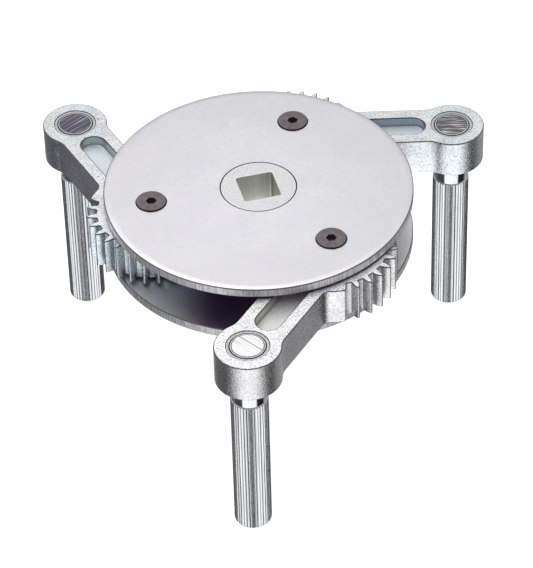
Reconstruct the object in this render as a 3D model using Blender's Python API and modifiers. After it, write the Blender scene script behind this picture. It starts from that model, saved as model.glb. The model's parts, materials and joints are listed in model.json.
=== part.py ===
"""Three-arm oil filter wrench with a square drive.

Two round plates carry a central drive gear. Three arms swing on sleeves between the
plates, and each arm ends in a gear sector that meshes with the drive gear, so one turn
of the drive closes or opens all three grip pins together.

Units are metres and degrees. +Z is up. The origin is at the centre of the footprint, on
the surface that the three grip pins stand on.
"""

import math

import bmesh
import bpy

# Driving dimensions
PLATE_DIAMETER = 0.107
PLATE_THICKNESS = 0.0035
PLATE_GAP = 0.0155
PLATE_BEVEL = 0.0004
PIVOT_RADIUS = 0.0375
FIRST_PIVOT_TURN = -46.6
ARM_REACH = 0.0562
ARM_THICKNESS = 0.0142
ARM_HALF_WIDTH = 0.0091
ARM_TURN = -70.6
BOSS_RADIUS = 0.0114
BOSS_FILLET = 0.008
RIM_FILLET = 0.0035
POCKET_START = 0.018
POCKET_END = 0.0468
POCKET_WIDTH = 0.009
POCKET_DEPTH = 0.0038
COLLAR_RADIUS = 0.0073
PIN_LENGTH = 0.0795
PIN_SHANK_RADIUS = 0.00605
PIN_CHAMFER = 0.0007
KNURL_LENGTH = 0.0569
KNURL_RADIUS = 0.0065
KNURL_DEPTH = 0.00038
KNURL_LEAD = 0.0003
KNURL_RIBS = 38
SQUARE_SIDE = 0.01295
SQUARE_TURN = 17.0
HUB_RADIUS = 0.013
GEAR_MODULE = 0.0015
DRIVE_TEETH = 21
DRIVE_SHIFT = 0.5
SECTOR_PITCHES = 28
SECTOR_TEETH = 21
SECTOR_PHASE = 2.0
PRESSURE_ANGLE = 20.0
FLANK_RELIEF = 0.000225
SLEEVE_RADIUS = 0.006
WASHER_RADIUS = 0.0095
WASHER_GAP = 0.0002
SCREW_RADIUS = 0.0025
SCREW_HEAD_RADIUS = 0.00515
SCREW_LENGTH = 0.010
SCREW_STAND = 0.0006
KEY_WIDTH = 0.0032
KEY_DEPTH = 0.0022
CLEARANCE = 0.0003
# How far a cutter reaches past the face that it cuts
PAST = 0.002

# Each arm with the small turn it takes up in the backlash of its teeth
ARMS = {"front": -0.8, "right": 1.0, "left": -0.2}
# How far each pivot's upper screw is turned
SCREW_TURNS = {"front": 38.0, "right": 55.0, "left": 30.0}

# Heights, from the surface the pins stand on
ARM_TOP = PIN_LENGTH
ARM_BOTTOM = ARM_TOP - ARM_THICKNESS
TOP_PLATE_LOW = ARM_TOP + CLEARANCE
TOP_FACE = TOP_PLATE_LOW + PLATE_THICKNESS
BOTTOM_PLATE_HIGH = TOP_PLATE_LOW - PLATE_GAP
UNDER_FACE = BOTTOM_PLATE_HIGH - PLATE_THICKNESS

PLATE_RADIUS = PLATE_DIAMETER / 2
PITCH_ANGLE = 360 / SECTOR_PITCHES
PIN_CIRCLE_RADIUS = math.hypot(
    PIVOT_RADIUS + ARM_REACH * math.cos(math.radians(ARM_TURN)),
    ARM_REACH * math.sin(math.radians(ARM_TURN)),
)
# One boss reaches furthest forward and another arm's gear sector furthest back
FRONT_REACH = PIN_CIRCLE_RADIUS + BOSS_RADIUS
SECTOR_TIP_RADIUS = GEAR_MODULE * (SECTOR_PITCHES / 2 + 1)
BACK_PIVOT_TURN = math.radians(FIRST_PIVOT_TURN + 120)
BACK_REACH = PIVOT_RADIUS * math.sin(BACK_PIVOT_TURN) + SECTOR_TIP_RADIUS
DRIVE_AXIS = (0.0, (FRONT_REACH - BACK_REACH) / 2, 0.0)

# Colour, roughness and metallic value of each finish
FINISHES = {
    "plate_steel": ((0.70, 0.69, 0.71), 0.42, 1.0),
    "gear_steel": ((0.62, 0.62, 0.62), 0.50, 1.0),
    "zinc_forging": ((0.66, 0.68, 0.70), 0.38, 1.0),
    "zinc_pin": ((0.74, 0.76, 0.79), 0.25, 1.0),
    "sleeve_steel": ((0.55, 0.55, 0.56), 0.35, 1.0),
    "black_oxide": ((0.06, 0.05, 0.055), 0.45, 0.9),
    "spring_steel": ((0.50, 0.50, 0.52), 0.35, 1.0),
}


# Scene, materials and placing


def clear_scene():
    for obj in list(bpy.data.objects):
        bpy.data.objects.remove(obj, do_unlink=True)


def make_collection(name):
    collection = bpy.data.collections.new(name)
    bpy.context.scene.collection.children.link(collection)
    return collection


def make_material(name, color, roughness, metallic):
    material = bpy.data.materials.new(name)
    material.use_nodes = True
    shader = material.node_tree.nodes["Principled BSDF"]
    shader.inputs["Base Color"].default_value = (*color, 1.0)
    shader.inputs["Roughness"].default_value = roughness
    shader.inputs["Metallic"].default_value = metallic
    return material


def add_part(name, mesh, finish, parent, location=(0, 0, 0), turn=0.0):
    part = bpy.data.objects.new(name, mesh)
    parts.objects.link(part)
    part.parent = parent
    part.location = location
    part.rotation_euler = (0, 0, math.radians(turn))
    material = make_material(name, *FINISHES[finish])
    mesh.materials.clear()
    mesh.materials.append(material)
    mesh.shade_smooth()
    mesh.set_sharp_from_angle(angle=math.radians(30))
    return part


def add_empty(name, parent, location, turn):
    empty = bpy.data.objects.new(name, None)
    empty.empty_display_size = 0.01
    parts.objects.link(empty)
    empty.parent = parent
    empty.location = location
    empty.rotation_euler = (0, 0, math.radians(turn))
    return empty


# Modelling tools


def work_object(name, data):
    obj = bpy.data.objects.new(name, data)
    cutters.objects.link(obj)
    obj.hide_render = True
    obj.display_type = "WIRE"
    return obj


def evaluated_mesh(obj):
    bpy.context.view_layer.update()
    depsgraph = bpy.context.evaluated_depsgraph_get()
    mesh = bpy.data.meshes.new_from_object(obj.evaluated_get(depsgraph))
    shape = bmesh.new()
    shape.from_mesh(mesh)
    bmesh.ops.remove_doubles(shape, verts=shape.verts, dist=1e-7)
    bmesh.ops.recalc_face_normals(shape, faces=shape.faces)
    shape.to_mesh(mesh)
    shape.free()
    return mesh


def prism(name, outlines, low, high):
    """A flat outline, with any holes as further loops, from one height to another."""
    curve = bpy.data.curves.new(name, "CURVE")
    curve.dimensions = "2D"
    curve.fill_mode = "BOTH"
    curve.extrude = (high - low) / 2
    curve.render_resolution_u = 0
    for outline in outlines:
        spline = curve.splines.new("POLY")
        spline.points.add(len(outline) - 1)
        for point, (x, y) in zip(spline.points, outline):
            point.co = (x, y, 0, 1)
        spline.use_cyclic_u = True
    drawn = work_object(name + "_outline", curve)
    mesh = evaluated_mesh(drawn)
    bpy.data.objects.remove(drawn)
    for vertex in mesh.vertices:
        vertex.co.z += (low + high) / 2
    return work_object(name, mesh)


def turned(name, profile, segments):
    """A solid turned about Z from (radius, height) points, from top to bottom."""
    mesh = bpy.data.meshes.new(name)
    edges = [(i, i + 1) for i in range(len(profile) - 1)]
    mesh.from_pydata([(radius, 0, height) for radius, height in profile], edges, [])
    solid = work_object(name, mesh)
    screw = solid.modifiers.new("Screw", "SCREW")
    screw.steps = segments
    screw.render_steps = segments
    screw.use_merge_vertices = True
    screw.merge_threshold = 1e-6
    return solid


def shape_with(solid, tool, operation):
    boolean = solid.modifiers.new(tool.name, "BOOLEAN")
    boolean.object = tool
    boolean.operation = operation
    boolean.solver = "EXACT"


def polar(radius, angle):
    return (
        radius * math.cos(math.radians(angle)),
        radius * math.sin(math.radians(angle)),
    )


def arc(center, radius, start, end, steps):
    """Points along an arc, both ends included."""
    points = []
    for i in range(steps + 1):
        x, y = polar(radius, start + (end - start) * i / steps)
        points.append((center[0] + x, center[1] + y))
    return points


def circle(radius, steps, center=(0, 0)):
    return arc(center, radius, 0, 360 - 360 / steps, steps - 1)


def regular_polygon(flat_to_flat, sides, turn=0.0):
    corner_radius = flat_to_flat / 2 / math.cos(math.pi / sides)
    return [polar(corner_radius, turn + (i + 0.5) * 360 / sides) for i in range(sides)]


# Gear teeth


def involute(angle):
    return math.tan(angle) - angle


class Gear:
    """An involute spur gear with thinned teeth."""

    def __init__(self, pitches, shift):
        self.pitches = pitches
        self.pitch_radius = GEAR_MODULE * pitches / 2
        self.tip_radius = self.pitch_radius + GEAR_MODULE * (1 + shift)
        self.root_radius = self.pitch_radius - GEAR_MODULE * (1.25 - shift)
        self.pressure = math.radians(PRESSURE_ANGLE)
        self.base_radius = self.pitch_radius * math.cos(self.pressure)
        half_tooth = (math.pi / 2 + 2 * shift * math.tan(self.pressure)) / pitches
        self.half_at_pitch = half_tooth - FLANK_RELIEF / self.pitch_radius

    def half_angle(self, radius):
        """Half of the tooth's angle at a radius, in degrees."""
        at_radius = math.acos(min(1.0, self.base_radius / radius))
        half = self.half_at_pitch + involute(self.pressure) - involute(at_radius)
        return math.degrees(half)

    def flank(self, middle, side):
        """One flank from root to tip. side is -1 for the clockwise one, 1 for the other."""
        upper = max(self.base_radius, self.root_radius)
        radii = [self.root_radius]
        radii += [upper + (self.tip_radius - upper) * step for step in (0.4, 1.0)]
        return [polar(r, middle + side * self.half_angle(r)) for r in radii]

    def tooth(self, middle):
        return self.flank(middle, -1) + self.flank(middle, 1)[::-1]


drive = Gear(DRIVE_TEETH, DRIVE_SHIFT)
sector = Gear(SECTOR_PITCHES, 0.0)


def drive_gear_turn():
    """Direction of a tooth of the drive gear, in mesh with the sectors at rest."""
    toward_drive = 180 - ARM_TURN
    past_tooth = (toward_drive - SECTOR_PHASE - 180) % PITCH_ANGLE
    space = FIRST_PIVOT_TURN + past_tooth * SECTOR_PITCHES / DRIVE_TEETH
    return space + 180 / DRIVE_TEETH


# Pieces


def plate_mesh(name, outer_side):
    """A plate with its hub hole and countersunk holes. outer_side is 1 up or -1 down."""
    body = bmesh.new()
    bmesh.ops.create_cone(
        body,
        cap_ends=True,
        segments=72,
        radius1=PLATE_RADIUS,
        radius2=PLATE_RADIUS,
        depth=PLATE_THICKNESS,
    )
    mesh = bpy.data.meshes.new(name)
    body.to_mesh(mesh)
    body.free()
    plate = work_object(name, mesh)
    bevel = plate.modifiers.new("Bevel", "BEVEL")
    bevel.width = PLATE_BEVEL
    bevel.segments = 1
    bevel.limit_method = "ANGLE"
    hub_hole = circle(HUB_RADIUS + CLEARANCE, 48)
    hub_cutter = prism(name + "_hub_hole", [hub_hole], -PLATE_THICKNESS, PLATE_THICKNESS)
    shape_with(plate, hub_cutter, "DIFFERENCE")
    face = PLATE_THICKNESS / 2
    hole_radius = SCREW_RADIUS + CLEARANCE
    mouth_radius = SCREW_HEAD_RADIUS + CLEARANCE
    profile = [
        (0, face + PAST),
        (mouth_radius + PAST, face + PAST),
        (hole_radius, face - (mouth_radius - hole_radius)),
        (hole_radius, -face - PAST),
        (0, -face - PAST),
    ]
    profile = [(radius, outer_side * height) for radius, height in profile][::outer_side]
    for name_of_arm, pivot_turn in pivot_turns().items():
        cutter_name = f"{name}_screw_hole_{name_of_arm}"
        screw_hole = turned(cutter_name, profile, 24)
        screw_hole.location = (*polar(PIVOT_RADIUS, pivot_turn), 0)
        shape_with(plate, screw_hole, "DIFFERENCE")
    return evaluated_mesh(plate)


def drive_gear_mesh():
    """The toothed rim, its two hubs in the plates, and the square through them."""
    square = regular_polygon(SQUARE_SIDE, 4, SQUARE_TURN)
    hub_outline = circle(HUB_RADIUS, 48)
    hub = prism("drive_hub", [hub_outline, square], UNDER_FACE, TOP_FACE)
    teeth = []
    for i in range(DRIVE_TEETH):
        teeth += drive.tooth(drive_gear_turn() + i * 360 / DRIVE_TEETH)
    inside_hub = HUB_RADIUS - CLEARANCE
    low = BOTTOM_PLATE_HIGH + CLEARANCE
    rim = prism("drive_rim", [teeth, circle(inside_hub, 48)], low, ARM_TOP)
    shape_with(hub, rim, "UNION")
    return evaluated_mesh(hub)


def arm_outline():
    """The boss at the pin, the straight flanks, and the gear sector round the pivot."""
    boss = (ARM_REACH, 0)
    across = ARM_HALF_WIDTH + BOSS_FILLET
    along = math.sqrt((BOSS_RADIUS + BOSS_FILLET) ** 2 - across**2)
    boss_end = math.degrees(math.atan2(across, -along))
    rise = ARM_HALF_WIDTH + RIM_FILLET
    run = math.sqrt((sector.tip_radius + RIM_FILLET) ** 2 - rise**2)
    rim_start = math.degrees(math.atan2(rise, run))

    half_turn_of_teeth = PITCH_ANGLE * (SECTOR_TEETH + 1) / 2
    before_teeth = 180 + SECTOR_PHASE - half_turn_of_teeth
    after_teeth = 180 + SECTOR_PHASE + half_turn_of_teeth
    rim_end = before_teeth + sector.half_angle(sector.tip_radius)
    rim_again = after_teeth - sector.half_angle(sector.tip_radius)

    outline = arc(boss, BOSS_RADIUS, -boss_end, boss_end, 28)
    fillet_center = (ARM_REACH - along, across)
    outline += arc(fillet_center, BOSS_FILLET, boss_end - 180, -90, 4)
    outline += arc((run, rise), RIM_FILLET, -90, rim_start - 180, 4)
    outline += arc((0, 0), sector.tip_radius, rim_start, rim_end, 3)[1:-1]
    outline += sector.flank(before_teeth, 1)[::-1]
    for i in range(1, SECTOR_TEETH + 1):
        outline += sector.tooth(before_teeth + i * PITCH_ANGLE)
    outline += sector.flank(after_teeth, -1)
    outline += arc((0, 0), sector.tip_radius, rim_again, 360 - rim_start, 3)[1:-1]
    outline += arc((run, -rise), RIM_FILLET, 180 - rim_start, 90, 4)
    fillet_center = (ARM_REACH - along, -across)
    outline += arc(fillet_center, BOSS_FILLET, 90, 180 - boss_end, 4)[:-1]
    return outline


def arm_mesh():
    """The forged arm, standing on its pivot axis with its pin towards +X."""
    bore = circle(SLEEVE_RADIUS + CLEARANCE, 24)
    pin_hole = circle(PIN_SHANK_RADIUS + CLEARANCE, 32, (ARM_REACH, 0))
    arm = prism("arm", [arm_outline(), bore, pin_hole], ARM_BOTTOM, ARM_TOP)
    end_radius = POCKET_WIDTH / 2
    pocket = arc((POCKET_END - end_radius, 0), end_radius, -90, 90, 10)
    pocket += arc((POCKET_START + end_radius, 0), end_radius, 90, 270, 10)
    for side, low, high in (
        ("top", ARM_TOP - POCKET_DEPTH, ARM_TOP + PAST),
        ("bottom", ARM_BOTTOM - PAST, ARM_BOTTOM + POCKET_DEPTH),
    ):
        shape_with(arm, prism("pocket_" + side, [pocket], low, high), "DIFFERENCE")
    collar = [
        (0, ARM_TOP + PAST),
        (COLLAR_RADIUS + PAST, ARM_TOP + PAST),
        (COLLAR_RADIUS - PAST, ARM_TOP - PAST),
        (0, ARM_TOP - PAST),
    ]
    countersink = turned("pin_countersink", collar, 32)
    countersink.location = (ARM_REACH, 0, 0)
    shape_with(arm, countersink, "DIFFERENCE")
    return evaluated_mesh(arm)


def grip_pin_mesh():
    """A pin with a plain shank in the arm and a straight knurl below it."""
    knurl = []
    for i in range(KNURL_RIBS):
        angle = i * 360 / KNURL_RIBS
        knurl.append(polar(KNURL_RADIUS, angle))
        knurl.append(polar(KNURL_RADIUS - KNURL_DEPTH, angle + 180 / KNURL_RIBS))
    ribs = prism("knurl", [knurl], 0, KNURL_LENGTH)
    top_radius = KNURL_RADIUS - KNURL_LEAD
    foot_radius = KNURL_RADIUS - PIN_CHAMFER
    envelope = turned(
        "knurl_envelope",
        [
            (0, KNURL_LENGTH + PAST),
            (top_radius - PAST, KNURL_LENGTH + PAST),
            (KNURL_RADIUS + PAST, KNURL_LENGTH - KNURL_LEAD - PAST),
            (KNURL_RADIUS + PAST, PIN_CHAMFER + PAST),
            (foot_radius - PAST, -PAST),
            (0, -PAST),
        ],
        2 * KNURL_RIBS,
    )
    shape_with(ribs, envelope, "INTERSECT")
    shank = turned(
        "pin_shank",
        [
            (0, PIN_LENGTH),
            (PIN_SHANK_RADIUS - PIN_CHAMFER, PIN_LENGTH),
            (PIN_SHANK_RADIUS, PIN_LENGTH - PIN_CHAMFER),
            (PIN_SHANK_RADIUS, KNURL_LENGTH - PAST),
            (0, KNURL_LENGTH - PAST),
        ],
        32,
    )
    shape_with(ribs, shank, "UNION")
    return evaluated_mesh(ribs)


def screw_mesh():
    """A countersunk screw with a hexagon socket. Height 0 is the face of its plate."""
    tip = SCREW_STAND - SCREW_LENGTH
    solid = turned(
        "screw",
        [
            (0, SCREW_STAND),
            (SCREW_HEAD_RADIUS, SCREW_STAND),
            (SCREW_HEAD_RADIUS, 0),
            (SCREW_RADIUS, SCREW_RADIUS - SCREW_HEAD_RADIUS),
            (SCREW_RADIUS, tip + SCREW_RADIUS / 5),
            (SCREW_RADIUS * 4 / 5, tip),
            (0, tip),
        ],
        24,
    )
    socket = regular_polygon(KEY_WIDTH, 6)
    key = prism("key", [socket], SCREW_STAND - KEY_DEPTH, SCREW_STAND + PAST)
    shape_with(solid, key, "DIFFERENCE")
    return evaluated_mesh(solid)


def ring_mesh(name, outer, inner, low, high):
    return evaluated_mesh(prism(name, [circle(outer, 24), circle(inner, 24)], low, high))


def pivot_turns():
    """Direction of each arm's pivot from the drive axis."""
    return {name: FIRST_PIVOT_TURN + i * 120 for i, name in enumerate(ARMS)}


# Assembly


def build_housing(axis):
    for name, side, low in (("top_plate", 1, TOP_PLATE_LOW), ("bottom_plate", -1, UNDER_FACE)):
        middle = (0, 0, low + PLATE_THICKNESS / 2)
        add_part(name, plate_mesh(name + "_blank", side), "plate_steel", axis, middle)
    add_part("drive_gear", drive_gear_mesh(), "gear_steel", axis)


def build_pivots(axis):
    screw_clear = SCREW_RADIUS + CLEARANCE
    sleeve_clear = SLEEVE_RADIUS + CLEARANCE
    sleeve_low = BOTTOM_PLATE_HIGH + CLEARANCE
    washer_low = BOTTOM_PLATE_HIGH + WASHER_GAP
    washer_high = ARM_BOTTOM - WASHER_GAP
    sleeve = ring_mesh("sleeve", SLEEVE_RADIUS, screw_clear, sleeve_low, ARM_TOP)
    washer = ring_mesh("washer", WASHER_RADIUS, sleeve_clear, washer_low, washer_high)
    screw = screw_mesh()
    for name, turn in pivot_turns().items():
        x, y = polar(PIVOT_RADIUS, turn)
        add_part("pivot_sleeve_" + name, sleeve.copy(), "sleeve_steel", axis, (x, y, 0))
        add_part("thrust_washer_" + name, washer.copy(), "spring_steel", axis, (x, y, 0))
        top_place = (x, y, TOP_FACE)
        screw_turn = SCREW_TURNS[name]
        add_part("top_screw_" + name, screw.copy(), "black_oxide", axis, top_place, screw_turn)
        under_place = (x, y, UNDER_FACE)
        under = add_part("bottom_screw_" + name, screw.copy(), "black_oxide", axis, under_place)
        under.rotation_euler = (math.pi, 0, 0)


def build_arms(axis):
    arm = arm_mesh()
    grip_pin = grip_pin_mesh()
    for name, turn in pivot_turns().items():
        pivot = (*polar(PIVOT_RADIUS, turn), 0)
        swing = add_empty("swing_" + name, axis, pivot, turn + ARM_TURN + ARMS[name])
        add_part("arm_" + name, arm.copy(), "zinc_forging", swing)
        add_part("grip_pin_" + name, grip_pin.copy(), "zinc_pin", swing, (ARM_REACH, 0, 0))


clear_scene()
parts = make_collection("oil_filter_wrench")
cutters = make_collection("cutters")
drive_axis = add_empty("drive_axis", None, DRIVE_AXIS, 0.0)
build_housing(drive_axis)
build_pivots(drive_axis)
build_arms(drive_axis)
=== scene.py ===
"""Looks of the three-arm oil filter wrench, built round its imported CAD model.

Every CAD node is replaced with a finer piece in the same place: the same sizes, with
rounded edges, cut teeth, a rolled knurl and procedural metals. Lengths are in metres and
angles in degrees, in the CAD model's frame: +Z up, pins standing on Z = 0.
"""

import json
import math
import random

import bmesh
import bpy
from mathutils import Matrix, Quaternion, Vector


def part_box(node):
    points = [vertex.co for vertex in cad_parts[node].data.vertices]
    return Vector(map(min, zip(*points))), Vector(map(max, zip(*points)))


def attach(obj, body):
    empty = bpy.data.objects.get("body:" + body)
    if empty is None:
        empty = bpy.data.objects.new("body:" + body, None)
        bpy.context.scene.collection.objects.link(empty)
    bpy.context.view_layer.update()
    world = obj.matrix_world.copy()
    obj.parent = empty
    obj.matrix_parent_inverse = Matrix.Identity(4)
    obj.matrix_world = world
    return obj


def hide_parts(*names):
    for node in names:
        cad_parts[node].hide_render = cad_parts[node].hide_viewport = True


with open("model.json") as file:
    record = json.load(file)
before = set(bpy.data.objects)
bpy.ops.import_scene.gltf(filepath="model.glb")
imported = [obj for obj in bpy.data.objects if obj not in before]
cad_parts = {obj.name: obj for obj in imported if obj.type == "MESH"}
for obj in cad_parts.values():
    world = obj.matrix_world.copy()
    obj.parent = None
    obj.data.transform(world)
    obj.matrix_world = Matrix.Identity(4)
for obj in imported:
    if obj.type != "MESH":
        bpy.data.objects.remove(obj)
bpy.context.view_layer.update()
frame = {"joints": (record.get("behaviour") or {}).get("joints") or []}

JOINTS = {joint["name"]: joint for joint in frame["joints"]}
ARM_NAMES = ("front", "right", "left")

# Radii of the rounded edges, and how far off a flat face's border its second loop lies,
# which keeps it flat under smooth shading
PLATE_EDGE = 0.0004
FORGED_EDGE = 0.0004
FINE_EDGE = 0.00012
KEEP_FLAT = 0.00004
# Degrees between its faces from which a point counts as on an edge, and counts in full
EDGE_TURN = (8.0, 18.0)
# Distance over which one finish gives way to the next
STEP = 0.0001
# Points round the circles
PLATE_STEPS = 256
HUB_STEPS = 128
RING_STEPS = 96
HOLE_STEPS = 64

# Plates
HUB_HOLE_RADIUS = 0.0133
COUNTERSINK_RADIUS = 0.00545
SCREW_HOLE_RADIUS = 0.0028
# How far the top plate's face drops at its rim, and the (inset, share of the drop) pairs
# of the curve up to its flat part
PLATE_CROWN = 0.00014
CROWN_PROFILE = ((0.0010, 0.45), (0.0015, 0.15), (0.0021, 0.0))

# Gears
GEAR_MODULE = 0.0015
PRESSURE_ANGLE = 20.0
FLANK_RELIEF = 0.000225
DRIVE_TEETH = 21
DRIVE_SHIFT = 0.5
SECTOR_PITCHES = 28
SECTOR_TEETH = 21
SECTOR_PHASE = 2.0
TIP_ROUND = 0.0003
ROOT_ROUND = 0.00035

# Drive gear
HUB_RADIUS = 0.013
SQUARE_SIDE = 0.01295
SQUARE_TURN = 17.0
SQUARE_ROUND = 0.0009
DRIVE_TOOTH_TURN = -32.2762
RIM_CLEARANCE = 0.0003

# Arms, with the pivot at the origin and the pin towards +X
ARM_REACH = 0.0562
ARM_HALF_WIDTH = 0.0091
BOSS_RADIUS = 0.0114
BOSS_FILLET = 0.008
RIM_FILLET = 0.0035
POCKET_START = 0.018
POCKET_END = 0.0468
POCKET_WIDTH = 0.009
POCKET_DEPTH = 0.0038
POCKET_FLOOR_FILLET = 0.0006
BORE_RADIUS = 0.0063
PIN_HOLE_RADIUS = 0.00635
COLLAR_RADIUS = 0.0072
COLLAR_DEPTH = 0.00025
COLLAR_EDGE = 0.00025

# Grip pins
PIN_RADIUS = 0.00605
PIN_FACE_RADIUS = 0.0053
LIP_DROP = 0.00012
GROOVE_DEPTH = 0.0001
KNURL_LENGTH = 0.0569
KNURL_RADIUS = 0.0065
KNURL_DEPTH = 0.00038
KNURL_RIBS = 38
POINTS_PER_RIB = 8
# Shares of the knurl's depth by which crests and grooves differ, and of a rib that they lean
CREST_WEAR = 0.15
GROOVE_FILL = 0.25
RIB_LEAN = 0.12
# The knurl's upper end: its length, its slope, and how deep it ends under the plain shank
RUN_OUT = 0.0008
RUN_OUT_SLOPE = 0.7
RUN_OUT_DROP = 0.00002
FOOT_CHAMFER = 0.0007

# Screws
SCREW_HEAD_RADIUS = 0.00515
SCREW_RADIUS = 0.0025
SCREW_TIP_CHAMFER = 0.0005
KEY_WIDTH = 0.0032
KEY_DEPTH = 0.0022
KEY_TURNS = {"front": 8.0, "right": 25.0, "left": 0.0}

# View and light
CAMERA_AZIMUTH = 3.1850
CAMERA_ELEVATION = 41.5546
CAMERA_ROLL = -1.6061
CAMERA_DISTANCE = 1.17206
CAMERA_LENS = 210.00
CAMERA_SHIFT = 0.00088
AIM_RIGHT = 0.00202
AIM_HEIGHT = 0.03814
FLOOR_SIZE = 3.0
FLOOR_TONE = 0.55
FLOOR_GLOW = 0.82
PANEL_PLACE = (-0.4, 0.3, 1.4)
PANEL_SIZE = (1.2, 0.8)
PANEL_POWER = 6

# Zinc. Direction of each pin's saw strokes, how far they wander, their two colours, which
# also paint each face's reflection, light on the front pin and dark on the others, the range of
# their noise over which the one colour gives way to the other, and how far off the middle one
# deep stroke runs, if there is one
SAW_MARKS_AND_REFLECTION = {
    "front": (-40.0, 0.05, (0.62, 0.63, 0.64), (1.0, 1.0, 1.0), (0.25, 0.50), 0.0015),
    "right": (4.0, 0.07, (0.16, 0.15, 0.16), (0.85, 0.84, 0.84), (0.48, 0.66), None),
    "left": (47.0, 0.03, (0.13, 0.115, 0.16), (0.62, 0.61, 0.70), (0.48, 0.72), None),
}
# The darker and the lighter zinc of an arm's top face
BRIGHT_TOP = ((0.80, 0.80, 0.805), (0.92, 0.92, 0.925))
DULL_TOP = ((0.72, 0.725, 0.745), (0.83, 0.835, 0.855))
# The darker and the lighter zinc of each arm, the painted shade of its pockets' walls, and its top
ZINC = {
    "front": ((0.71, 0.71, 0.72), (0.81, 0.81, 0.81), (0.58, 0.58, 0.54), BRIGHT_TOP),
    "right": ((0.74, 0.78, 0.81), (0.84, 0.89, 0.92), (0.36, 0.44, 0.51), DULL_TOP),
    "left": ((0.69, 0.75, 0.80), (0.80, 0.87, 0.93), (0.50, 0.57, 0.56), DULL_TOP),
}


# Outlines


def polar(radius, turn):
    angle = math.radians(turn)
    return Vector((radius * math.cos(angle), radius * math.sin(angle)))


def arc(center, radius, start, end, steps):
    """Points along an arc, both ends included."""
    turns = [start + (end - start) * i / steps for i in range(steps + 1)]
    return [Vector(center) + polar(radius, turn) for turn in turns]


def circle(radius, steps, center=(0, 0)):
    return arc(center, radius, 0, 360 - 360 / steps, steps - 1)


def regular_polygon(flat_to_flat, sides, turn):
    corner_radius = flat_to_flat / 2 / math.cos(math.pi / sides)
    return [polar(corner_radius, turn + (i + 0.5) * 360 / sides) for i in range(sides)]


def neighbours(items):
    return zip(items[-1:] + items[:-1], items, items[1:] + items[:1])


def inset(outline, distance):
    """An anticlockwise outline with every side moved inwards, corner for corner."""
    moved = []
    for before, point, after in neighbours(outline):
        side_in = (point - before).normalized()
        side_out = (after - point).normalized()
        across = Vector((-side_in.y - side_out.y, side_in.x + side_out.x))
        moved.append(point + across * distance / (1 + side_in.dot(side_out)))
    return moved


def inset_rounded(corners, distance, steps=3):
    """The inset outline of (point, rounding) corners, each rounded one drawn as an arc."""
    points = inset([point for point, rounding in corners], distance)
    outline = []
    for (before, point, after), (_, rounding) in zip(neighbours(points), corners):
        if not rounding:
            outline.append(point)
            continue
        to_before = (before - point).normalized()
        to_after = (after - point).normalized()
        convex = to_after.cross(to_before) > 0
        radius = max(rounding - distance, FINE_EDGE / 5) if convex else rounding + distance
        half_angle = to_before.angle(to_after) / 2
        center = point + (to_before + to_after).normalized() * radius / math.sin(half_angle)
        start = point + to_before * radius / math.tan(half_angle) - center
        sweep = math.pi - 2 * half_angle
        for i in range(steps + 1):
            turn = sweep * i / steps
            outline.append(center + Matrix.Rotation(turn if convex else -turn, 2) @ start)
    return outline


# Solids made of loops


class Solid:
    """A closed mesh made of loops of points, with walls and flat faces between them."""

    def __init__(self):
        self.shape = bmesh.new()

    def loop(self, outline, height):
        return [self.shape.verts.new((x, y, height)) for x, y in outline]

    def wall(self, loops):
        for lower, upper in zip(loops, loops[1:]):
            for i in range(len(lower)):
                self.shape.faces.new((lower[i - 1], lower[i], upper[i], upper[i - 1]))

    def stack(self, outline_at, profile):
        """A wall through (inset, height) pairs. Returns its first and last loops."""
        loops = [self.loop(outline_at(distance), height) for distance, height in profile]
        self.wall(loops)
        return loops[0], loops[-1]

    def turned(self, profile, steps, center=(0, 0)):
        """A wall through (radius, height) pairs. Returns its first and last loops."""
        return self.stack(lambda radius: circle(radius, steps, center), profile)

    def face(self, *loops):
        """A flat face inside the first loop, with the others as holes."""
        edges = []
        for loop in loops:
            for i in range(len(loop)):
                ends = (loop[i - 1], loop[i])
                edges.append(self.shape.edges.get(ends) or self.shape.edges.new(ends))
        bmesh.ops.triangle_fill(self.shape, edges=edges, use_beauty=True)

    def mark_edges(self):
        """Notes on every point how sharply the surface turns there, from 0 to 1."""
        layer = self.shape.verts.layers.float.new("edge")
        start, full = EDGE_TURN
        for vert in self.shape.verts:
            turn = math.degrees(max(edge.calc_face_angle(0.0) for edge in vert.link_edges))
            vert[layer] = min(1.0, max(0.0, (turn - start) / (full - start)))

    def finish(self, name, material=None, sharp_angle=40):
        """The solid as a mesh, smooth but for edges sharper than an angle."""
        bmesh.ops.recalc_face_normals(self.shape, faces=self.shape.faces)
        self.mark_edges()
        open_edges = [edge for edge in self.shape.edges if not edge.is_manifold]
        if open_edges:
            raise ValueError(f"{name} has {len(open_edges)} open edges")
        mesh = bpy.data.meshes.new(name)
        self.shape.to_mesh(mesh)
        self.shape.free()
        mesh.shade_smooth()
        mesh.set_sharp_from_angle(angle=math.radians(sharp_angle))
        if material:
            mesh.materials.append(material)
        return mesh


def quarter(steps):
    """(sine, cosine) pairs through a quarter turn."""
    angles = [math.pi / 2 * i / steps for i in range(steps + 1)]
    return [(math.sin(angle), math.cos(angle)) for angle in angles]


def low_edge(height, radius, side=1, steps=4):
    """The rounded edge from a flat underside up into a wall. side is -1 for a hole."""
    pairs = [(side * (radius + KEEP_FLAT), height)]
    pairs += [(side * radius * (1 - s), height + radius * (1 - c)) for s, c in quarter(steps)]
    return pairs + [(0, height + radius + KEEP_FLAT)]


def high_edge(height, radius, side=1, steps=4):
    """The rounded edge from a wall up into a flat top. side is -1 for a hole."""
    return [(distance, 2 * height - z) for distance, z in low_edge(height, radius, side, steps)][::-1]


def around(radius, profile):
    """Turns (inset, height) pairs of a circular wall into (radius, height) pairs."""
    return [(radius - distance, height) for distance, height in profile]


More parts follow.
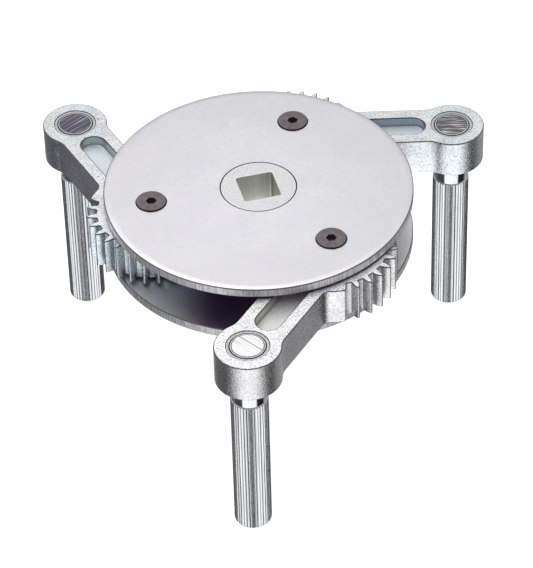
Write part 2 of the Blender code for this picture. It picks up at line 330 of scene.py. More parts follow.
def place(name, mesh, body, location, turn, node, slot):
    """Puts a mesh in place of a node. It is turned as a mesh, so its box stays a true one."""
    mesh.transform(Matrix.Rotation(math.radians(turn), 4, "Z"))
    piece = bpy.data.objects.new(name, mesh)
    bpy.context.scene.collection.objects.link(piece)
    piece.location = location
    bpy.context.view_layer.update()
    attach(piece, body)
    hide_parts(node)
    return piece


# Gear teeth


def involute(angle):
    return math.tan(angle) - angle


class Gear:
    """An involute spur gear with thinned teeth."""

    def __init__(self, pitches, shift):
        self.pitches = pitches
        pitch_radius = GEAR_MODULE * pitches / 2
        self.tip_radius = pitch_radius + GEAR_MODULE * (1 + shift)
        self.root_radius = pitch_radius - GEAR_MODULE * (1.25 - shift)
        self.pressure = math.radians(PRESSURE_ANGLE)
        self.base_radius = pitch_radius * math.cos(self.pressure)
        half_tooth = (math.pi / 2 + 2 * shift * math.tan(self.pressure)) / pitches
        self.half_at_pitch = half_tooth - FLANK_RELIEF / pitch_radius

    def half_angle(self, radius):
        """Half of the tooth's angle at a radius, in degrees."""
        at_radius = math.acos(min(1.0, self.base_radius / radius))
        half = self.half_at_pitch + involute(self.pressure) - involute(at_radius)
        return math.degrees(half)

    def flank(self, middle, side):
        """Corners up one flank. side is -1 for the clockwise one, 1 for the other."""
        lower = max(self.base_radius, self.root_radius)
        radii = [lower + (self.tip_radius - lower) * step for step in (0.25, 0.5, 0.75)]
        corners = [(self.root_radius, ROOT_ROUND)]
        corners += [(radius, 0) for radius in radii] + [(self.tip_radius, TIP_ROUND)]
        return [
            (polar(radius, middle + side * self.half_angle(radius)), rounding)
            for radius, rounding in corners
        ]

    def tooth(self, middle):
        return self.flank(middle, -1) + self.flank(middle, 1)[::-1]


drive = Gear(DRIVE_TEETH, DRIVE_SHIFT)
sector = Gear(SECTOR_PITCHES, 0.0)


# Node materials


class Nodes:
    """A node tree that grows by calls, most of which return a socket."""

    def __init__(self, tree):
        self.tree = tree

    def node(self, kind, inputs=None, **settings):
        made = self.tree.nodes.new(kind)
        for key, value in settings.items():
            setattr(made, key, value)
        for key, value in (inputs or {}).items():
            if isinstance(value, bpy.types.NodeSocket):
                self.tree.links.new(value, made.inputs[key])
            else:
                made.inputs[key].default_value = value
        return made

    def math(self, operation, first, second=0.0):
        return self.node("ShaderNodeMath", {0: first, 1: second}, operation=operation).outputs[0]

    def both(self, first, second):
        """Where two masks meet."""
        return self.math("MULTIPLY", first, second)

    def axes(self, vector):
        return self.node("ShaderNodeSeparateXYZ", {"Vector": vector}).outputs

    def between(self, value, start, end, low=0.0, high=1.0):
        """low up to start, high from end on, and a smooth rise between them."""
        inputs = {"Value": value, 1: start, 2: end, 3: low, 4: high}
        made = self.node("ShaderNodeMapRange", inputs, interpolation_type="SMOOTHSTEP")
        return made.outputs["Result"]

    def mix(self, factor, first, second):
        made = self.node("ShaderNodeMix", {"Factor": factor}, data_type="RGBA")
        for socket, color in ((made.inputs[6], first), (made.inputs[7], second)):
            if isinstance(color, bpy.types.NodeSocket):
                self.tree.links.new(color, socket)
            else:
                socket.default_value = (*color, 1.0)
        return made.outputs[2]


class Surface(Nodes):
    """A metal whose colour, roughness and relief are worked out by nodes."""

    def __init__(self, name, metallic=1.0):
        self.material = bpy.data.materials.new(name)
        self.material.use_nodes = True
        super().__init__(self.material.node_tree)
        self.shader = self.tree.nodes["Principled BSDF"]
        self.shader.inputs["Metallic"].default_value = metallic
        self.place = self.node("ShaderNodeTexCoord").outputs["Object"]
        self.normal = None

    def noise(self, scale, detail=3.0, roughness=0.55, stretch=(1, 1, 1), place=None):
        """Noise with scale waves to the metre, drawn out where stretch is under 1."""
        mapped = self.node("ShaderNodeMapping", {"Vector": place or self.place, "Scale": stretch})
        inputs = {
            "Vector": mapped.outputs["Vector"],
            "Scale": scale,
            "Detail": detail,
            "Roughness": roughness,
        }
        return self.node("ShaderNodeTexNoise", inputs).outputs["Fac"]

    def height(self):
        return self.axes(self.place)["Z"]

    def radius(self, center=(0, 0)):
        """Distance from an upright axis."""
        result = self.place
        for operation, value in (("SUBTRACT", (*center, 0)), ("MULTIPLY", (1, 1, 0))):
            made = self.node("ShaderNodeVectorMath", {0: result, 1: value}, operation=operation)
            result = made.outputs["Vector"]
        return self.node("ShaderNodeVectorMath", {0: result}, operation="LENGTH").outputs["Value"]

    def edge(self):
        """1 on the rounded edges and 0 on the faces between them."""
        return self.node("ShaderNodeAttribute", attribute_name="edge").outputs["Fac"]

    def turned_place(self, turn):
        """The place seen along axes that are turned round the upright one, in degrees."""
        inputs = {"Vector": self.place, "Rotation": (0, 0, math.radians(-turn))}
        return self.node("ShaderNodeMapping", inputs).outputs["Vector"]

    def bump(self, height, depth):
        """Adds relief to the surface, depth metres from the lowest point to the highest."""
        inputs = {"Strength": 1.0, "Distance": depth, "Height": height}
        if self.normal:
            inputs["Normal"] = self.normal
        self.normal = self.node("ShaderNodeBump", inputs).outputs["Normal"]

    def set(self, color, roughness):
        self.tree.links.new(color, self.shader.inputs["Base Color"])
        self.tree.links.new(roughness, self.shader.inputs["Roughness"])
        if self.normal:
            self.tree.links.new(self.normal, self.shader.inputs["Normal"])
        return self.material


def plate_steel():
    """Fine satin steel, with shade painted on the faces between the plates, a painted dark reflection on
    its rounded edges, and shearing marks on the rim.
    """
    metal = Surface("plate_steel")
    cloud = metal.noise(60, 4)
    grain = metal.noise(1600, 4, 0.8)
    strokes = metal.noise(1500, 3, 0.7, (1, 1, 0.12))
    low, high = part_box("top_plate")
    _, lower_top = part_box("bottom_plate")
    rim_radius = (high.x - low.x) / 2
    on_rim = metal.between(metal.radius(), rim_radius - 4 * STEP, rim_radius - STEP)
    above = metal.between(metal.height(), low.z + STEP, low.z + 3 * STEP)
    below_end = lower_top.z - STEP
    below = metal.between(metal.height(), below_end - 2 * STEP, below_end, 1.0, 0.0)
    inside = metal.math("SUBTRACT", 1.0, metal.math("ADD", above, below))
    # The outer faces: cloudy, with darker and lighter grains, and darker towards the rim
    face = metal.mix(metal.between(cloud, 0.3, 0.7), (0.71, 0.70, 0.74), (0.75, 0.74, 0.78))
    face = metal.mix(metal.between(grain, 0.30, 0.50, 0.30, 0.0), face, (0.45, 0.44, 0.48))
    face = metal.mix(metal.between(grain, 0.50, 0.70, 0.0, 0.30), face, (1.0, 0.99, 1.0))
    darker_to_rim = metal.between(metal.radius(), 0.015, 0.052, 0.0, 0.28)
    face = metal.mix(darker_to_rim, face, (0.60, 0.59, 0.62))
    # The inner faces: painted shade between the plates, lighter near the rim where light comes in, and
    # darkest across the middle
    gap_shade = metal.mix(metal.between(metal.radius(), 0.038, 0.049), (0.86, 0.85, 0.93), (0.95, 0.94, 0.97))
    off_middle = metal.math("ABSOLUTE", metal.axes(metal.place)["X"])
    gap_shade = metal.mix(metal.between(off_middle, 0.012, 0.028, 1.0, 0.0), gap_shade, (0.34, 0.25, 0.46))
    gap_shade = metal.mix(metal.between(grain, 0.30, 0.60, 0.35, 0.0), gap_shade, (0.35, 0.34, 0.38))
    color = metal.mix(inside, face, gap_shade)
    rim = metal.mix(metal.between(strokes, 0.35, 0.65), (0.58, 0.57, 0.60), (0.88, 0.88, 0.91))
    color = metal.mix(on_rim, color, rim)
    # Painted reflection: the rounded edges are painted near black, as the dark room shows in them
    color = metal.mix(metal.edge(), color, (0.17, 0.165, 0.175))
    metal.bump(grain, 0.00003)
    metal.bump(metal.both(strokes, on_rim), 0.00002)
    rough = metal.between(metal.noise(420, 3), 0.3, 0.7, 0.33, 0.40)
    rough = metal.math("ADD", rough, metal.math("MULTIPLY", on_rim, 0.18))
    rough = metal.math("ADD", rough, metal.math("MULTIPLY", inside, 0.10))
    return metal.set(color, rough)


def gear_steel():
    """Grainy satin steel, with lengthwise broach marks in the square."""
    metal = Surface("gear_steel")
    grain = metal.noise(2200, 3, 0.65)
    strokes = metal.noise(900, 3, 0.6, (1, 1, 0.04))
    corner = SQUARE_SIDE / math.sqrt(2)
    in_square = metal.between(metal.radius(), corner - 3.5 * STEP, corner - STEP / 2, 1.0, 0.0)
    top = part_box("drive_gear")[1].z
    below_face = metal.between(metal.height(), top - 1.5 * STEP, top - STEP / 2, 1.0, 0.0)
    inside = metal.both(in_square, below_face)
    face = metal.mix(metal.between(grain, 0.35, 0.65), (0.60, 0.60, 0.61), (0.78, 0.78, 0.79))
    walls = metal.mix(metal.between(strokes, 0.35, 0.65), (0.70, 0.71, 0.66), (0.80, 0.81, 0.76))
    metal.bump(grain, 0.00004)
    metal.bump(metal.both(strokes, inside), 0.00003)
    rough = metal.between(metal.noise(700, 2), 0.3, 0.7, 0.36, 0.46)
    return metal.set(metal.mix(inside, face, walls), rough)


def in_pockets(metal, turn):
    """A mask of the pockets of an arm that points at a turn."""
    axes = metal.axes(metal.turned_place(turn))
    off_middle = metal.math("ABSOLUTE", axes["Y"])
    wall = POCKET_WIDTH / 2
    mask = metal.between(off_middle, wall + 2 * STEP, wall + 4 * STEP, 1.0, 0.0)
    for end, side in ((POCKET_START, 1), (POCKET_END, -1)):
        past_end = metal.math("MULTIPLY", metal.math("SUBTRACT", axes["X"], end), side)
        mask = metal.both(mask, metal.between(past_end, -4 * STEP, -2 * STEP))
    return mask


def in_collar(metal, turn, top):
    """A mask of the shallow ring that the pin of an arm stands in."""
    from_pin = metal.radius(polar(ARM_REACH, turn))
    within = metal.between(from_pin, COLLAR_RADIUS - STEP, COLLAR_RADIUS + STEP, 1.0, 0.0)
    return metal.both(within, metal.between(metal.height(), top - 6 * STEP, top - 4 * STEP))


def zinc_forging(name, dark, light, pocket, ground, turn):
    """Bright zinc on a forging: a sparkling grain, faint clouds and a few dark pits.

    pocket is the painted shade of its pockets' walls, ground the two colours of its top face, and
    turn the arm's direction, which the pockets and the ring round its pin are found with.
    """
    metal = Surface("zinc_forging_" + name)
    grain = metal.noise(1500, 4, 0.75)
    cloud = metal.noise(160, 4)
    pits = metal.noise(1100, 2, 0.5)
    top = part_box("arm_front")[1].z
    floor = top - POCKET_DEPTH
    pockets = in_pockets(metal, turn)
    above_floor = metal.between(metal.height(), floor - 2 * STEP, floor - STEP)
    below_wall = metal.between(metal.height(), floor + STEP, floor + 4 * STEP, 1.0, 0.0)
    on_floor = metal.both(metal.both(above_floor, below_wall), pockets)
    on_face = metal.between(metal.height(), top - 2 * STEP, top - STEP)
    cloudy = metal.between(cloud, 0.35, 0.65)
    color = metal.mix(cloudy, dark, light)
    # Painted shade: the pockets' walls are darker, in each arm's own tint
    color = metal.mix(pockets, color, pocket)
    color = metal.mix(on_face, color, metal.mix(cloudy, *ground))
    color = metal.mix(metal.between(pits, 0.66, 0.72), color, (0.30, 0.31, 0.33))
    color = metal.mix(metal.between(grain, 0.34, 0.50, 0.75, 0.0), color, (0.34, 0.36, 0.39))
    plain = metal.math("MULTIPLY", on_floor, 0.85)
    color = metal.mix(plain, color, light)
    # Painted shade in the shallow ring round the pin
    collar_shade = metal.math("MULTIPLY", in_collar(metal, turn, top), 0.6)
    color = metal.mix(collar_shade, color, (0.36, 0.36, 0.35))
    # Painted reflection along the rounded edges, darkest round the top face, where the dark room shows
    # in them
    edge_reflection = metal.between(metal.height(), top - 6 * STEP, top - 5 * STEP, 0.36, 0.85)
    color = metal.mix(metal.both(metal.edge(), edge_reflection), color, (0.05, 0.05, 0.055))
    metal.bump(metal.both(grain, metal.math("SUBTRACT", 1.0, plain)), 0.00014)
    metal.bump(cloud, 0.00005)
    metallic = metal.between(on_floor, 0.0, 1.0, 1.0, 0.3)
    metal.tree.links.new(metallic, metal.shader.inputs["Metallic"])
    return metal.set(color, metal.between(grain, 0.3, 0.7, 0.30, 0.18))


def zinc_pin(name):
    """Bright zinc on a turned and knurled pin, drawn out along its length."""
    metal = Surface("zinc_pin_" + name)
    grain = metal.noise(2600, 2, 0.6)
    drawn = metal.noise(1500, 3, 0.6, (1, 1, 0.03))
    on_knurl = metal.between(metal.height(), KNURL_LENGTH - 4 * STEP, KNURL_LENGTH, 1.0, 0.0)
    color = metal.mix(metal.between(drawn, 0.3, 0.7), (0.66, 0.69, 0.71), (0.86, 0.89, 0.91))
    # Painted shade in the knurl's grooves
    groove_floor = KNURL_RADIUS - KNURL_DEPTH
    groove_end = KNURL_RADIUS - KNURL_DEPTH * 0.4
    groove_shade = metal.between(metal.radius(), groove_floor, groove_end, 0.7, 0.0)
    color = metal.mix(metal.both(groove_shade, on_knurl), color, (0.36, 0.37, 0.38))
    color = saw_marks_and_reflection(metal, color, *SAW_MARKS_AND_REFLECTION[name])
    metal.bump(metal.both(grain, on_knurl), 0.00003)
    metal.bump(metal.both(drawn, on_knurl), 0.00003)
    return metal.set(color, metal.between(metal.both(grain, on_knurl), 0.0, 0.6, 0.12, 0.32))


def saw_marks_and_reflection(metal, color, turn, wander, dark, light, cut, deep_stroke):
    """Colours a pin's sawn upper end, with its strokes running at a turn.

    cut is the range of the strokes' noise over which dark gives way to light. dark and light
    also hold painted reflection: each face is painted as dark or as light as the room it reflects.
    """
    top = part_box("grip_pin_front")[1].z
    on_face = metal.between(metal.height(), top - 2 * STEP, top - STEP)
    within = metal.between(metal.radius(), PIN_FACE_RADIUS, PIN_FACE_RADIUS + STEP, 1.0, 0.0)
    along = metal.turned_place(turn)
    strokes = metal.noise(1400, 2, 0.6, (wander, 1, 0), along)
    # Painted reflection: the strokes' two colours also set how dark or light the face looks, for the
    # room it reflects
    sawn = metal.mix(metal.between(strokes, *cut), dark, light)
    if deep_stroke is not None:
        offset = metal.math("SUBTRACT", metal.axes(along)["Y"], deep_stroke)
        stroke = metal.between(metal.math("ABSOLUTE", offset), STEP, 3 * STEP, 0.8, 0.0)
        sawn = metal.mix(stroke, sawn, (0.22, 0.22, 0.25))
    color = metal.mix(metal.both(on_face, within), color, sawn)
    # Painted reflection: the rounded edges at the top are darkened, as the dark room shows in them
    at_top = metal.between(metal.height(), top - 6 * STEP, top - 5 * STEP)
    return metal.mix(metal.both(metal.edge(), at_top), color, (0.10, 0.10, 0.09))


def black_oxide():
    """Brown-black oxide with a faint turned sheen."""
    metal = Surface("black_oxide", 0.85)
    grain = metal.noise(2600, 3, 0.6)
    cloud = metal.noise(500, 3)
    color = metal.mix(metal.between(cloud, 0.3, 0.7), (0.13, 0.111, 0.12), (0.20, 0.178, 0.187))
    metal.bump(grain, 0.00002)
    return metal.set(color, metal.between(grain, 0.3, 0.7, 0.46, 0.36))


def turned_steel(name, base):
    """Plain steel with fine turning rings."""
    metal = Surface(name)
    rings = metal.noise(3000, 2, 0.5, (0.05, 0.05, 1))
    darker = tuple(value * 0.75 for value in base)
    color = metal.mix(metal.between(rings, 0.3, 0.7), darker, base)
    metal.bump(rings, 0.00002)
    return metal.set(color, metal.between(rings, 0.3, 0.7, 0.28, 0.42))


MATERIALS = {
    "plate_steel": plate_steel(),
    "gear_steel": gear_steel(),
    "sleeve_steel": turned_steel("sleeve_steel", (0.62, 0.62, 0.63)),
    "spring_steel": turned_steel("spring_steel", (0.55, 0.55, 0.57)),
    "black_oxide": black_oxide(),
}


# Pieces of the housing


def drive_axis():
    x, y, _ = JOINTS["drive_turn"]["pos_m"]
    return Vector((x, y, 0))


def pivot(name):
    x, y, _ = JOINTS[f"arm_{name}_swing"]["pos_m"]
    return Vector((x, y, 0))


def plate_mesh(node, outer_side):
    """A plate about the drive axis. outer_side is 1 if the screws sink in from above."""
    low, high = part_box(node)
    radius = (high.x - low.x) / 2
    solid = Solid()
    rim = low_edge(low.z, PLATE_EDGE)
    if outer_side > 0:
        # The sheared edge rolls over a little
        rim += high_edge(high.z - PLATE_CROWN, PLATE_EDGE)[:-1]
        rim += [(distance, high.z - PLATE_CROWN * drop) for distance, drop in CROWN_PROFILE]
        rim.append((CROWN_PROFILE[-1][0] + KEEP_FLAT, high.z))
    else:
        rim += high_edge(high.z, PLATE_EDGE)
    hub = low_edge(low.z, FINE_EDGE, -1) + high_edge(high.z, FINE_EDGE, -1)
    slope = COUNTERSINK_RADIUS - SCREW_HOLE_RADIUS
    hole = [
        (SCREW_HOLE_RADIUS + KEEP_FLAT, low.z),
        (SCREW_HOLE_RADIUS, low.z),
        (SCREW_HOLE_RADIUS, high.z - slope),
        (COUNTERSINK_RADIUS, high.z),
        (COUNTERSINK_RADIUS + KEEP_FLAT, high.z),
    ]
    if outer_side < 0:
        hole = [(reach, low.z + high.z - height) for reach, height in hole][::-1]
    walls = [(around(radius, rim), PLATE_STEPS, (0, 0))]
    walls.append((around(HUB_HOLE_RADIUS, hub), HUB_STEPS, (0, 0)))
    for name in ARM_NAMES:
        walls.append((hole, HOLE_STEPS, (pivot(name) - drive_axis()).to_2d()))
    bottoms, tops = [], []
    for profile, steps, center in walls:
        bottom, top = solid.turned(profile, steps, center)
        bottoms.append(bottom)
        tops.append(top)
    solid.face(*bottoms)
    solid.face(*tops)
    return solid.finish(node + "_fine", MATERIALS["plate_steel"])


def drive_gear_mesh():
    """The toothed rim between the plates, its two hubs, and the square through them."""
    low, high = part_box("drive_gear")
    _, plate_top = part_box("bottom_plate")
    _, arm_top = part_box("arm_front")
    rim_low = plate_top.z + RIM_CLEARANCE
    solid = Solid()
    square = [(point, SQUARE_ROUND) for point in regular_polygon(SQUARE_SIDE, 4, SQUARE_TURN)]
    teeth = []
    for i in range(DRIVE_TEETH):
        teeth += drive.tooth(DRIVE_TOOTH_TURN + i * 360 / DRIVE_TEETH)
    lower = around(HUB_RADIUS, low_edge(low.z, FINE_EDGE) + [(0, rim_low)])
    upper = around(HUB_RADIUS, [(0, arm_top.z)] + high_edge(high.z, FINE_EDGE))
    rim = low_edge(rim_low, FINE_EDGE) + high_edge(arm_top.z, FINE_EDGE)
    bore = low_edge(low.z, FINE_EDGE, -1) + high_edge(high.z, FINE_EDGE, -1)
    under, lower_neck = solid.turned(lower, HUB_STEPS)
    upper_neck, top = solid.turned(upper, HUB_STEPS)
    rim_under, rim_top = solid.stack(lambda distance: inset_rounded(teeth, distance), rim)
    bore_under, bore_top = solid.stack(lambda distance: inset_rounded(square, distance, 6), bore)
    solid.face(under, bore_under)
    solid.face(rim_under, lower_neck)
    solid.face(rim_top, upper_neck)
    solid.face(top, bore_top)
    return solid.finish("drive_gear_fine", MATERIALS["gear_steel"])


def ring_mesh(node, material, bore_radius):
    """A plain ring with fine chamfers: a sleeve or a washer."""
    low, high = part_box(node)
    solid = Solid()
    radius = (high.x - low.x) / 2
    chamfer = min(FINE_EDGE, (high.z - low.z) / 4)
    outer = low_edge(low.z, chamfer) + high_edge(high.z, chamfer)
    inner = low_edge(low.z, chamfer, -1) + high_edge(high.z, chamfer, -1)
    outer_under, outer_top = solid.turned(around(radius, outer), RING_STEPS)
    inner_under, inner_top = solid.turned(around(bore_radius, inner), RING_STEPS)
    solid.face(outer_under, inner_under)
    solid.face(outer_top, inner_top)
    return solid.finish(node + "_fine", MATERIALS[material])


def screw_mesh(node):
    """A countersunk screw, head up, with its head's face at height 0."""
    low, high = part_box(node)
    length = high.z - low.z
    _, plate_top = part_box("top_plate")
    _, head_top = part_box("top_screw_front")
    stand = head_top.z - plate_top.z
    solid = Solid()
    slope = SCREW_HEAD_RADIUS - SCREW_RADIUS
    shank = [
        (SCREW_RADIUS - SCREW_TIP_CHAMFER, -length),
        (SCREW_RADIUS, -length + SCREW_TIP_CHAMFER),
        (SCREW_RADIUS, -stand - slope),
        (SCREW_HEAD_RADIUS - FINE_EDGE / 2, -stand - FINE_EDGE / 2),
        (SCREW_HEAD_RADIUS, -stand + FINE_EDGE / 2),
    ]
    head = around(SCREW_HEAD_RADIUS, high_edge(0, FINE_EDGE))
    tip, face = solid.turned(shank + head, RING_STEPS)
    key = [(point, FINE_EDGE) for point in regular_polygon(KEY_WIDTH, 6, 30)]
    socket = [(0.0, -KEY_DEPTH)] + high_edge(0, FINE_EDGE, -1)
    socket_floor, mouth = solid.stack(lambda distance: inset_rounded(key, distance), socket)
    solid.face(tip)
    solid.face(face, mouth)
    solid.face(socket_floor)
    return solid.finish(node + "_fine", MATERIALS["black_oxide"])


# Arms and pins


def arm_corners():
    """Corners of the arm's outline, anticlockwise from the boss, with their rounding."""
    boss = (ARM_REACH, 0)
    across = ARM_HALF_WIDTH + BOSS_FILLET
    along = math.sqrt((BOSS_RADIUS + BOSS_FILLET) ** 2 - across**2)
    boss_end = math.degrees(math.atan2(across, -along))
    rise = ARM_HALF_WIDTH + RIM_FILLET
    run = math.sqrt((sector.tip_radius + RIM_FILLET) ** 2 - rise**2)
    rim_start = math.degrees(math.atan2(rise, run))
    pitch = 360 / SECTOR_PITCHES
    before_teeth = 180 + SECTOR_PHASE - pitch * (SECTOR_TEETH + 1) / 2
    after_teeth = 180 + SECTOR_PHASE + pitch * (SECTOR_TEETH + 1) / 2
    rim_end = before_teeth + sector.half_angle(sector.tip_radius)
    rim_again = after_teeth - sector.half_angle(sector.tip_radius)

    upper = arc((ARM_REACH - along, across), BOSS_FILLET, boss_end - 180, -90, 12)[1:]
    upper += arc((run, rise), RIM_FILLET, -90, rim_start - 180, 12)
    lower = arc((run, -rise), RIM_FILLET, 180 - rim_start, 90, 12)
    lower += arc((ARM_REACH - along, -across), BOSS_FILLET, 90, 180 - boss_end, 12)[:-1]
    smooth = arc(boss, BOSS_RADIUS, -boss_end, boss_end, 72) + upper
    smooth += arc((0, 0), sector.tip_radius, rim_start, rim_end, 8)[1:-1]
    corners = [(point, 0) for point in smooth]
    corners += sector.flank(before_teeth, 1)[::-1]
    for i in range(1, SECTOR_TEETH + 1):
        corners += sector.tooth(before_teeth + i * pitch)
    corners += sector.flank(after_teeth, -1)
    smooth = arc((0, 0), sector.tip_radius, rim_again, 360 - rim_start, 8)[1:-1] + lower
    return corners + [(point, 0) for point in smooth]


def pocket_outline():
    end_radius = POCKET_WIDTH / 2
    outline = arc((POCKET_END - end_radius, 0), end_radius, -90, 90, 24)
    return outline + arc((POCKET_START + end_radius, 0), end_radius, 90, 270, 24)


def arm_mesh():
    """The forged arm, standing on its pivot axis with its pin towards +X."""
    low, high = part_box("arm_front")
    solid = Solid()
    corners = arm_corners()
    pocket = pocket_outline()
    wall = low_edge(low.z, FORGED_EDGE) + high_edge(high.z, FORGED_EDGE)
    bore = low_edge(low.z, FINE_EDGE, -1) + high_edge(high.z, FINE_EDGE, -1)
    ledge = high.z - COLLAR_DEPTH
    pin_hole = around(PIN_HOLE_RADIUS, low_edge(low.z, FINE_EDGE, -1))
    pin_hole += [
        (PIN_HOLE_RADIUS, ledge),
        (PIN_HOLE_RADIUS + KEEP_FLAT, ledge),
        (COLLAR_RADIUS - KEEP_FLAT, ledge),
        (COLLAR_RADIUS, ledge),
        (COLLAR_RADIUS + COLLAR_EDGE, high.z),
        (COLLAR_RADIUS + COLLAR_EDGE + KEEP_FLAT, high.z),
    ]
    fillet = POCKET_FLOOR_FILLET
    floor = high.z - POCKET_DEPTH
    bowl = [(fillet + KEEP_FLAT, floor)]
    bowl += [(fillet * (1 - s), floor + fillet * (1 - c)) for s, c in quarter(5)]
    bowl += high_edge(high.z, FORGED_EDGE, -1)
    under_bowl = [(distance, low.z + high.z - z) for distance, z in bowl][::-1]

    under, top = solid.stack(lambda distance: inset_rounded(corners, distance), wall)
    bore_under, bore_top = solid.turned(around(BORE_RADIUS, bore), RING_STEPS)
    pin_under, pin_top = solid.turned(pin_hole, RING_STEPS, (ARM_REACH, 0))
    floor_loop, mouth = solid.stack(lambda distance: inset(pocket, distance), bowl)
    under_mouth, ceiling_loop = solid.stack(lambda distance: inset(pocket, distance), under_bowl)
    solid.face(under, bore_under, pin_under, under_mouth)
    solid.face(top, bore_top, pin_top, mouth)
    solid.face(floor_loop)
    solid.face(ceiling_loop)
    return solid.finish("arm_fine")


def knurl_outline(seed, limit):
    """The rolled ribs, no two quite alike, cut down to a limiting radius."""
    dice = random.Random(seed)
    outline = []
    for rib in range(KNURL_RIBS):
        crest = KNURL_RADIUS - KNURL_DEPTH * CREST_WEAR * dice.random()
        groove = KNURL_RADIUS - KNURL_DEPTH * (1 - GROOVE_FILL + GROOVE_FILL * dice.random())
        lean = dice.uniform(-RIB_LEAN, RIB_LEAN)
        for step in range(POINTS_PER_RIB):
            part = step / POINTS_PER_RIB
            rise = 1 - abs(2 * part - 1)
            rise = (rise * rise * (3 - 2 * rise) + rise) / 2
            turn = (rib + part + lean * rise) * 360 / KNURL_RIBS
            outline.append(polar(min(groove + (crest - groove) * rise, limit), turn))
    return outline


def pin_mesh(name, seed):
    """A grip pin, foot down on height 0."""
    low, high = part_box("grip_pin_front")
    solid = Solid()
    count = KNURL_RIBS * POINTS_PER_RIB
    foot = KNURL_RADIUS - FOOT_CHAMFER
    loops = [solid.loop(circle(foot - KEEP_FLAT, count), low.z)]
    for rise in (0.0, 0.25, 0.5, 0.75, 1.0, 1.2):
        limit = foot + FOOT_CHAMFER * rise
        loops.append(solid.loop(knurl_outline(seed, limit), low.z + FOOT_CHAMFER * rise))
    for part in (0.25, 0.5, 0.75):
        loops.append(solid.loop(knurl_outline(seed, KNURL_RADIUS), KNURL_LENGTH * part))
    for part in (1.0, 0.75, 0.5, 0.25):
        limit = PIN_RADIUS - RUN_OUT_DROP + RUN_OUT * part * RUN_OUT_SLOPE
        loops.append(solid.loop(knurl_outline(seed, limit), KNURL_LENGTH - RUN_OUT * part))
    groove = PIN_FACE_RADIUS + GROOVE_DEPTH
    groove_end = groove + 2 * GROOVE_DEPTH
    lip = high.z - LIP_DROP
    plain = [
        (PIN_RADIUS, KNURL_LENGTH),
        (PIN_RADIUS, KNURL_LENGTH + KEEP_FLAT),
        (PIN_RADIUS, lip - FINE_EDGE - KEEP_FLAT),
        (PIN_RADIUS, lip - FINE_EDGE),
        (PIN_RADIUS - FINE_EDGE, lip),
        (PIN_RADIUS - FINE_EDGE - KEEP_FLAT, lip),
        (groove_end + KEEP_FLAT, lip),
        (groove_end, lip),
        (groove + GROOVE_DEPTH, lip - GROOVE_DEPTH),
        (groove, lip),
        (PIN_FACE_RADIUS, high.z),
        (PIN_FACE_RADIUS - KEEP_FLAT, high.z),
        (PIN_FACE_RADIUS - 5 * KEEP_FLAT, high.z),
    ]
    loops += [solid.loop(circle(radius, count), height) for radius, height in plain]
    solid.wall(loops)
    solid.face(loops[0])
    solid.face(loops[-1])
    return solid.finish("grip_pin_fine", zinc_pin(name), 30)


# Assembly


def build_housing():
    axis = drive_axis()
    for node, side in (("top_plate", 1), ("bottom_plate", -1)):
        place(node + "_piece", plate_mesh(node, side), "housing", axis, 0, node, "plate_steel")
    mesh = drive_gear_mesh()
    place("drive_gear_piece", mesh, "drive", axis, 0, "drive_gear", "gear_steel")
    for name in ARM_NAMES:
        center = pivot(name)
        for part, slot, bore_radius in (
            ("pivot_sleeve_", "sleeve_steel", SCREW_HOLE_RADIUS),
            ("thrust_washer_", "spring_steel", BORE_RADIUS),
        ):
            node = part + name
            mesh = ring_mesh(node, slot, bore_radius)
            place(node + "_piece", mesh, "housing", center, 0, node, slot)
        node = "top_screw_" + name
        head = Vector((center.x, center.y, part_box(node)[1].z))
        turn = KEY_TURNS[name]
        place(node + "_piece", screw_mesh(node), "housing", head, turn, node, "black_oxide")
        node = "bottom_screw_" + name
        head = Vector((center.x, center.y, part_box(node)[0].z))
        mesh = screw_mesh(node)
        mesh.transform(Matrix.Rotation(math.pi, 4, "X"))
        place(node + "_piece", mesh, "housing", head, turn, node, "black_oxide")


def build_arms():
    mesh = arm_mesh()
    for seed, name in enumerate(ARM_NAMES):
        low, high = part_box("grip_pin_" + name)
        pin = Vector(((low.x + high.x) / 2, (low.y + high.y) / 2, 0))
        toward = pin - pivot(name)
        turn = math.degrees(math.atan2(toward.y, toward.x))
        body = "arm_" + name
        arm = mesh.copy()
        arm.materials.append(zinc_forging(name, *ZINC[name], turn))
        place(body + "_piece", arm, body, pivot(name), turn, body, "zinc_forging")
        node = "grip_pin_" + name
        place(node + "_piece", pin_mesh(name, seed), body, pin, turn, node, "zinc_pin")


# Floor, light and camera


def build_floor():
    """A pale light table: it glows, so what stands on it throws hardly any shadow."""
    solid = bmesh.new()
    bmesh.ops.create_grid(solid, x_segments=1, y_segments=1, size=FLOOR_SIZE / 2)
    mesh = bpy.data.meshes.new("floor")
    solid.to_mesh(mesh)
    solid.free()
    floor = bpy.data.objects.new("floor", mesh)
    bpy.context.scene.collection.objects.link(floor)
    floor.visible_glossy = False
    floor.visible_shadow = False
    material = bpy.data.materials.new("light_table")
    material.use_nodes = True
    shader = material.node_tree.nodes["Principled BSDF"]
    shader.inputs["Base Color"].default_value = (FLOOR_TONE, FLOOR_TONE, FLOOR_TONE, 1)
    shader.inputs["Roughness"].default_value = 1.0
    shader.inputs["Specular IOR Level"].default_value = 0.0
    shader.inputs["Emission Color"].default_value = (1, 1, 1, 1)
    shader.inputs["Emission Strength"].default_value = FLOOR_GLOW
    mesh.materials.append(material)


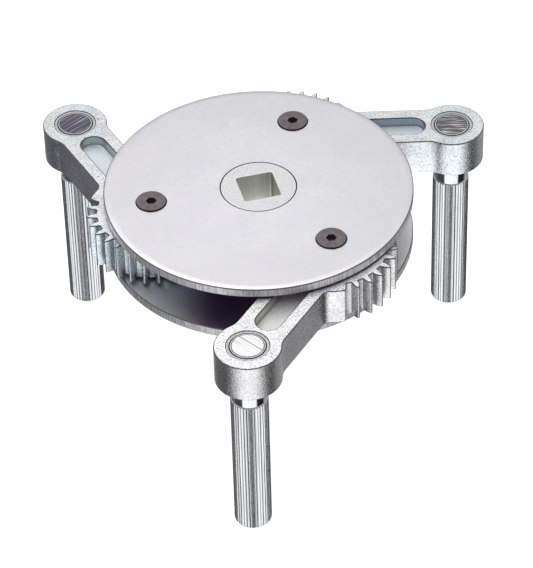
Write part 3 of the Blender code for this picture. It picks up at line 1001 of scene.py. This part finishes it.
class Sky(Nodes):
    """The studio round the object, worked out by nodes from the direction looked in.

    up, front and right are how far a direction points up, towards the camera's side and to
    the right, the last two as if it were level.
    """

    def __init__(self):
        world = bpy.data.worlds.new("studio")
        bpy.context.scene.world = world
        world.use_nodes = True
        super().__init__(world.node_tree)
        self.background = self.tree.nodes["Background"]
        direction = self.node("ShaderNodeTexCoord").outputs["Generated"]
        x, y, self.up = self.axes(direction)
        # A little over 1, so that straight up divides by more than nothing
        level = self.math("SQRT", self.math("SUBTRACT", 1.0001, self.both(self.up, self.up)))
        turn = math.radians(CAMERA_AZIMUTH)
        along_x = self.math("MULTIPLY", x, math.sin(turn))
        along_y = self.math("MULTIPLY", y, math.cos(turn))
        self.front = self.math("DIVIDE", self.math("SUBTRACT", along_x, along_y), level)
        self.right = self.math("DIVIDE", x, level)


def grey(value):
    return (value, value, value)


def tent_and_room(sky):
    """Above the horizon: a white tent, brightest some 50 degrees up, and the dim room that
    shows behind the camera."""
    tent = sky.mix(sky.between(sky.up, 0.30, 0.62), grey(0.55), grey(0.75))
    tent = sky.mix(sky.between(sky.up, 0.60, 0.76), tent, grey(1.20))
    tent = sky.mix(sky.between(sky.up, 0.84, 0.96), tent, grey(0.72))
    room = sky.mix(sky.between(sky.up, 0.25, 0.45), (0.12, 0.115, 0.125), (0.42, 0.41, 0.43))
    under_top = sky.between(sky.up, 0.80, 0.95, 1.0, 0.0)
    return sky.mix(sky.both(sky.between(sky.front, 0.35, 0.75), under_top), tent, room)


def table_and_card(sky):
    """Below the horizon: a dim wall at the back, dark sides, and a white card in front."""
    back = sky.mix(sky.between(sky.right, 0.35, 0.80), (0.15, 0.135, 0.145), (0.44, 0.43, 0.44))
    back = sky.mix(sky.between(sky.front, -0.96, -0.84), (0.60, 0.59, 0.60), back)
    right_side = sky.between(sky.right, -0.3, 0.3)
    sides = sky.mix(right_side, (0.065, 0.06, 0.07), (0.02, 0.018, 0.024))
    low = sky.mix(sky.between(sky.front, -0.45, -0.05), back, sides)
    low = sky.mix(sky.between(sky.up, -0.42, -0.20), low, grey(0.62))
    card = sky.mix(sky.between(sky.up, -0.24, -0.12), grey(1.28), (0.05, 0.045, 0.055))
    return sky.mix(sky.between(sky.front, 0.64, 0.75), low, card)


def build_world():
    sky = Sky()
    above_horizon = sky.between(sky.up, -0.05, 0.05)
    color = sky.mix(above_horizon, table_and_card(sky), tent_and_room(sky))
    sky.tree.links.new(color, sky.background.inputs["Color"])


def build_camera():
    data = bpy.data.cameras.new("camera")
    data.lens = CAMERA_LENS
    data.clip_end = 20
    data.shift_x = -CAMERA_SHIFT
    data.shift_y = CAMERA_SHIFT
    camera = bpy.data.objects.new("camera", data)
    bpy.context.scene.collection.objects.link(camera)
    camera.rotation_mode = "QUATERNION"
    turned = Quaternion((0, 0, 1), math.radians(CAMERA_AZIMUTH))
    tilted = Quaternion((1, 0, 0), math.radians(90 - CAMERA_ELEVATION))
    rolled = Quaternion((0, 0, 1), math.radians(CAMERA_ROLL))
    camera.rotation_quaternion = turned @ tilted @ rolled
    aim = drive_axis() + Vector((AIM_RIGHT, 0, AIM_HEIGHT))
    camera.location = aim + camera.rotation_quaternion @ Vector((0, 0, CAMERA_DISTANCE))
    bpy.context.scene.camera = camera


def build_light():
    """One large soft panel high up behind, for the sheen on the plates' faces."""
    data = bpy.data.lights.new("panel", "AREA")
    data.shape = "RECTANGLE"
    data.size, data.size_y = PANEL_SIZE
    data.energy = PANEL_POWER
    panel = bpy.data.objects.new("panel", data)
    bpy.context.scene.collection.objects.link(panel)
    panel.location = PANEL_PLACE
    toward = (drive_axis() - panel.location).to_track_quat("-Z", "Y")
    panel.rotation_mode = "QUATERNION"
    panel.rotation_quaternion = toward


build_housing()
build_arms()
build_floor()
build_world()
build_light()
build_camera()
bpy.context.scene.view_settings.view_transform = "Standard"
